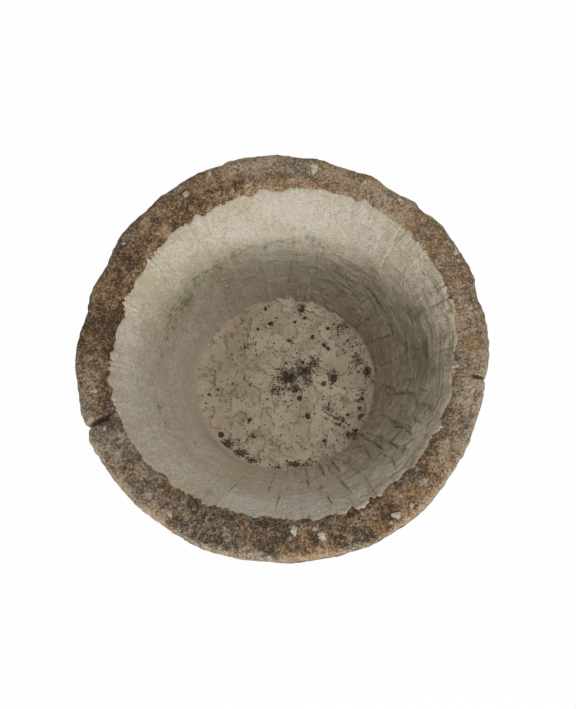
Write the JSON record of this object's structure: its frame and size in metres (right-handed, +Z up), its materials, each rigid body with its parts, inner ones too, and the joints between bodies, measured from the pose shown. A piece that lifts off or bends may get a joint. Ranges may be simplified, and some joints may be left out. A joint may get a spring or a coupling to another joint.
{
  "type": "stone trough planter",
  "caption": "Round hewn stone planter bowl of mortared and dowelled stones, with a rendered inner wall and a pebbled screed floor, that stands on its flat foot and holds soil and plants.",
  "frame": {"origin": "centre of the foot, on the ground", "axes": "+Z up, +Y to the rear, +X to the right as seen from the front"},
  "size_m": [0.6467, 0.6631, 0.352],
  "materials": {
    "hewn_stone": "rough hewn, weathered brown and grey",
    "mortar": "coarse, dirty",
    "dowel_steel": "plain bar",
    "grout": "fine, matte",
    "render": "trowelled, matte, pale warm grey",
    "screed": "sandy, pitted, matte",
    "brown_pebble": "smooth",
    "dark_pebble": "smooth"
  },
  "bodies": {
    "root": {"rear_stone": "hewn_stone", "front_stone": "hewn_stone", "left_joint_mortar": "mortar", "right_joint_mortar": "mortar", "left_upper_dowel": "dowel_steel", "left_lower_dowel": "dowel_steel", "left_base_dowel": "dowel_steel", "right_upper_dowel": "dowel_steel", "right_lower_dowel": "dowel_steel", "right_base_dowel": "dowel_steel", "left_dowel_grout": "grout", "right_dowel_grout": "grout", "wall_render": "render", "floor_screed": "screed", "brown_pebbles": "brown_pebble", "dark_pebbles": "dark_pebble"}
  },
  "joints": []
}
